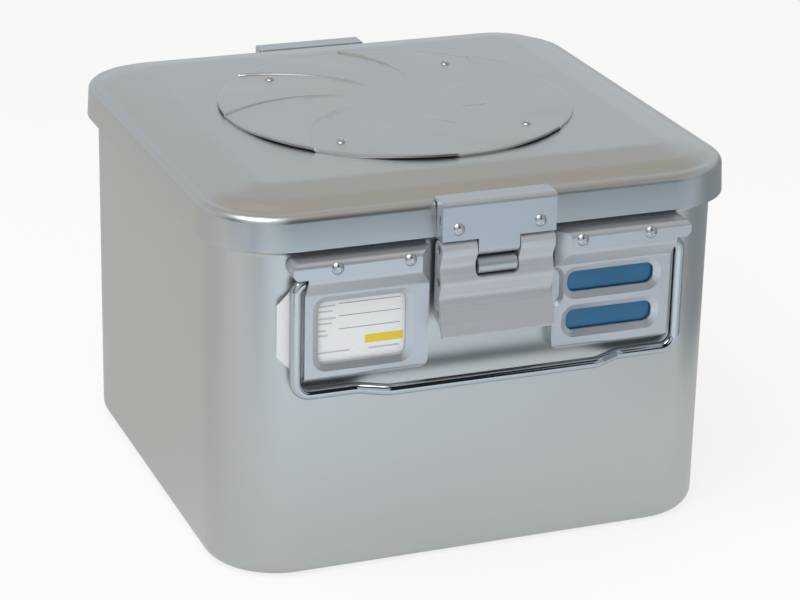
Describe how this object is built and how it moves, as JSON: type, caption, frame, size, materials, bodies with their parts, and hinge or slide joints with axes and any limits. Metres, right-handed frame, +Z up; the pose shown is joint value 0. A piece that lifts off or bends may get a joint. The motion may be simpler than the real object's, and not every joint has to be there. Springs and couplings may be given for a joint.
{
  "type": "sterilization container",
  "caption": "Deep-drawn aluminium box with rounded corners, a lift-off lid with a swirled vent cover, swing latches, wire handles and label holders.",
  "frame": {"origin": "middle of the underside", "axes": "+Z up; -Y is the front shown in the picture, with a latch, a handle, a card holder on the left and a tag holder on the right; X runs along the front"},
  "size_m": [0.29, 0.302, 0.2092],
  "materials": {
    "shell_metal": "satin anodised",
    "fitting_metal": "satin anodised",
    "rivet_metal": "bright",
    "pin_steel": "ground",
    "wire_chrome": "polished",
    "seal_rubber": "matt silicone",
    "filter_cloth": "woven",
    "knob_plastic": "matt",
    "card_white": "matt",
    "tag_blue": "gloss"
  },
  "bodies": {
    "base": {"base_shell": "shell_metal", "front_catch_plate": "fitting_metal", "front_catch_rivets": "rivet_metal", "front_card_holder": "fitting_metal", "front_tag_holder": "fitting_metal", "front_card_holder_rivets": "rivet_metal", "front_tag_holder_rivets": "rivet_metal", "front_card_side_bar": "fitting_metal", "front_tag_side_bar": "fitting_metal", "rear_catch_plate": "fitting_metal", "rear_catch_rivets": "rivet_metal", "rear_card_holder": "fitting_metal", "rear_tag_holder": "fitting_metal", "rear_card_holder_rivets": "rivet_metal", "rear_tag_holder_rivets": "rivet_metal", "rear_card_side_bar": "fitting_metal", "rear_tag_side_bar": "fitting_metal"},
    "lid": {"lid_shell": "shell_metal", "lid_gasket": "seal_rubber", "vent_cover": "shell_metal", "vent_cover_rivets": "rivet_metal", "retainer_post": "pin_steel", "front_lid_bracket": "fitting_metal", "front_bracket_rivets": "rivet_metal", "front_hinge_pin": "pin_steel", "rear_lid_bracket": "fitting_metal", "rear_bracket_rivets": "rivet_metal", "rear_hinge_pin": "pin_steel"},
    "retainer": {"filter_retainer": "shell_metal", "retainer_gasket": "seal_rubber", "filter_sheet": "filter_cloth"},
    "retainer_knob": {"retainer_knob": "knob_plastic"},
    "front_latch": {"front_latch_plate": "fitting_metal", "front_lock_pin": "pin_steel"},
    "front_handle": {"front_handle": "wire_chrome"},
    "front_card": {"front_label_card": "card_white"},
    "front_tag": {"front_tag_plate": "tag_blue"},
    "rear_latch": {"rear_latch_plate": "fitting_metal", "rear_lock_pin": "pin_steel"},
    "rear_handle": {"rear_handle": "wire_chrome"},
    "rear_card": {"rear_label_card": "card_white"},
    "rear_tag": {"rear_tag_plate": "tag_blue"}
  },
  "joints": [
    {"name": "lid_lift", "type": "slide", "parent": "base", "child": "lid", "axis": [0, 0, 1], "range_m": [0, 0.27]},
    {"name": "retainer_drop", "type": "slide", "parent": "lid", "child": "retainer", "axis": [0, 0, -1], "range_m": [0, 0.12]},
    {"name": "knob_turn", "type": "hinge", "parent": "retainer", "child": "retainer_knob", "pos_m": [0, 0, 0.198], "axis": [0, 0, 1], "range_deg": [0, 90]},
    {"name": "front_latch_swing", "type": "hinge", "parent": "lid", "child": "front_latch", "pos_m": [0, -0.1428, 0.1755], "axis": [-1, 0, 0], "range_deg": [0, 100]},
    {"name": "front_handle_swing", "type": "hinge", "parent": "base", "child": "front_handle", "pos_m": [0, -0.1394, 0.165], "axis": [-1, 0, 0], "range_deg": [0, 90]},
    {"name": "front_card_slide", "type": "slide", "parent": "base", "child": "front_card", "axis": [-1, 0, 0], "range_m": [0, 0.08]},
    {"name": "front_tag_slide", "type": "slide", "parent": "base", "child": "front_tag", "axis": [1, 0, 0], "range_m": [0, 0.07]},
    {"name": "rear_latch_swing", "type": "hinge", "parent": "lid", "child": "rear_latch", "pos_m": [0, 0.1428, 0.1755], "axis": [1, 0, 0], "range_deg": [0, 100]},
    {"name": "rear_handle_swing", "type": "hinge", "parent": "base", "child": "rear_handle", "pos_m": [0, 0.1394, 0.165], "axis": [1, 0, 0], "range_deg": [0, 90]},
    {"name": "rear_card_slide", "type": "slide", "parent": "base", "child": "rear_card", "axis": [1, 0, 0], "range_m": [0, 0.08]},
    {"name": "rear_tag_slide", "type": "slide", "parent": "base", "child": "rear_tag", "axis": [-1, 0, 0], "range_m": [0, 0.07]}
  ]
}
